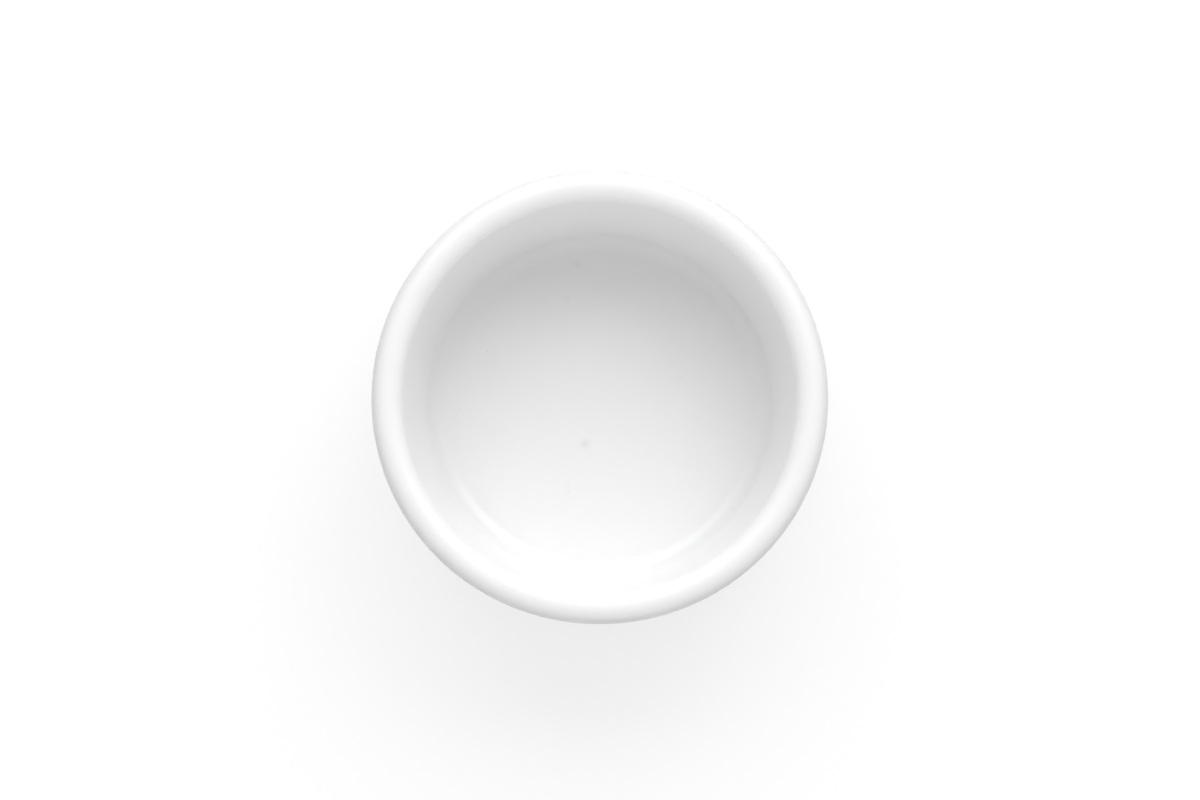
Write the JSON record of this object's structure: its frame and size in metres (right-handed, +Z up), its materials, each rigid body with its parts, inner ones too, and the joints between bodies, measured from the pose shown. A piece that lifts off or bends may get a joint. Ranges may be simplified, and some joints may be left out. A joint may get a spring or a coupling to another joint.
{
  "type": "dip bowl",
  "caption": "Small round porcelain bowl with steep straight walls, a thick full-round lip, a flat floor and a foot ring, for a portion of dip or sauce.",
  "frame": {"origin": "middle of the foot ring's rest face, on the surface that the bowl stands on", "axes": "+Z up, along the axis that the bowl is turned about; +X and +Y are any two square directions in the rest face"},
  "size_m": [0.07, 0.07, 0.03],
  "materials": {
    "glazed_porcelain": "clear gloss glaze over white porcelain, wiped off the flat of the foot ring"
  },
  "bodies": {
    "root": {"bowl": "glazed_porcelain"}
  },
  "joints": []
}
